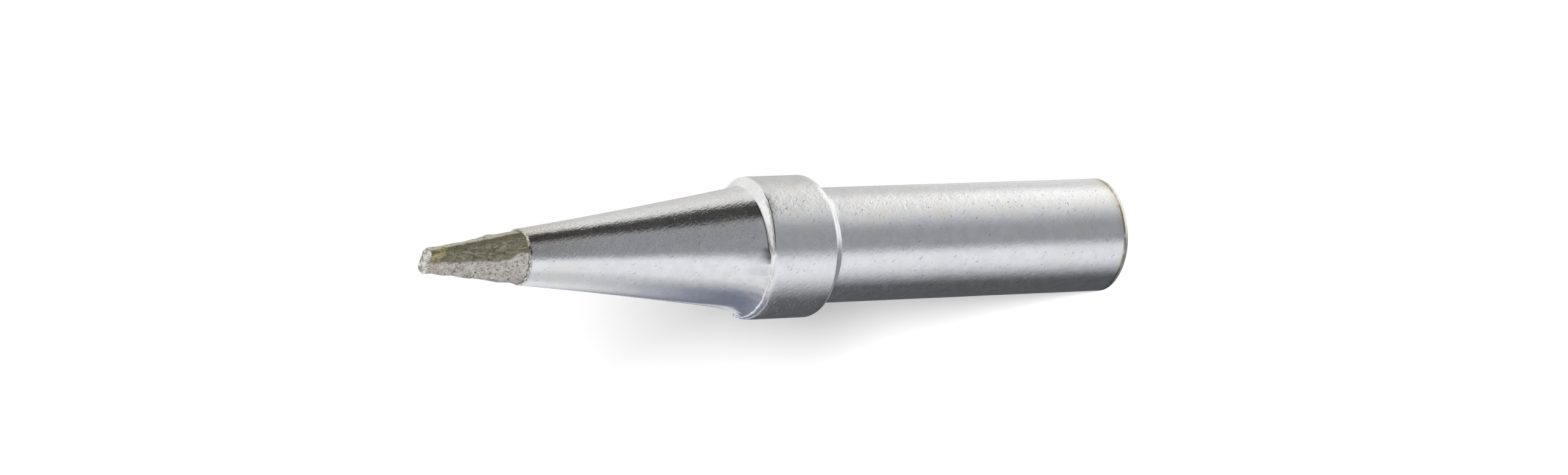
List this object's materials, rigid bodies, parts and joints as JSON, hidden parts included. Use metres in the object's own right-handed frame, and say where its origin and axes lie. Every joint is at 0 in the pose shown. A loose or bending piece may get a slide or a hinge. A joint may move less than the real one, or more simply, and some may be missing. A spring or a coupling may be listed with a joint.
{
  "type": "soldering iron tip",
  "caption": "Plated soldering tip: plain shank, clamping collar, long concave cone and a narrow tinned blade.",
  "frame": {"origin": "centre of the shank's rear face, which the tip stands on", "axes": "+Z along the tip's axis, from its rear face to the blade"},
  "size_m": [0.0064, 0.0064, 0.0351],
  "materials": {
    "plated_metal": "bright nickel and chromium plating over iron-clad copper, fine pits and scratches",
    "tinned_end": "used solder over iron, rough, with yellow and brown flux stains"
  },
  "bodies": {
    "root": {"soldering_tip": "plated_metal"}
  },
  "joints": []
}
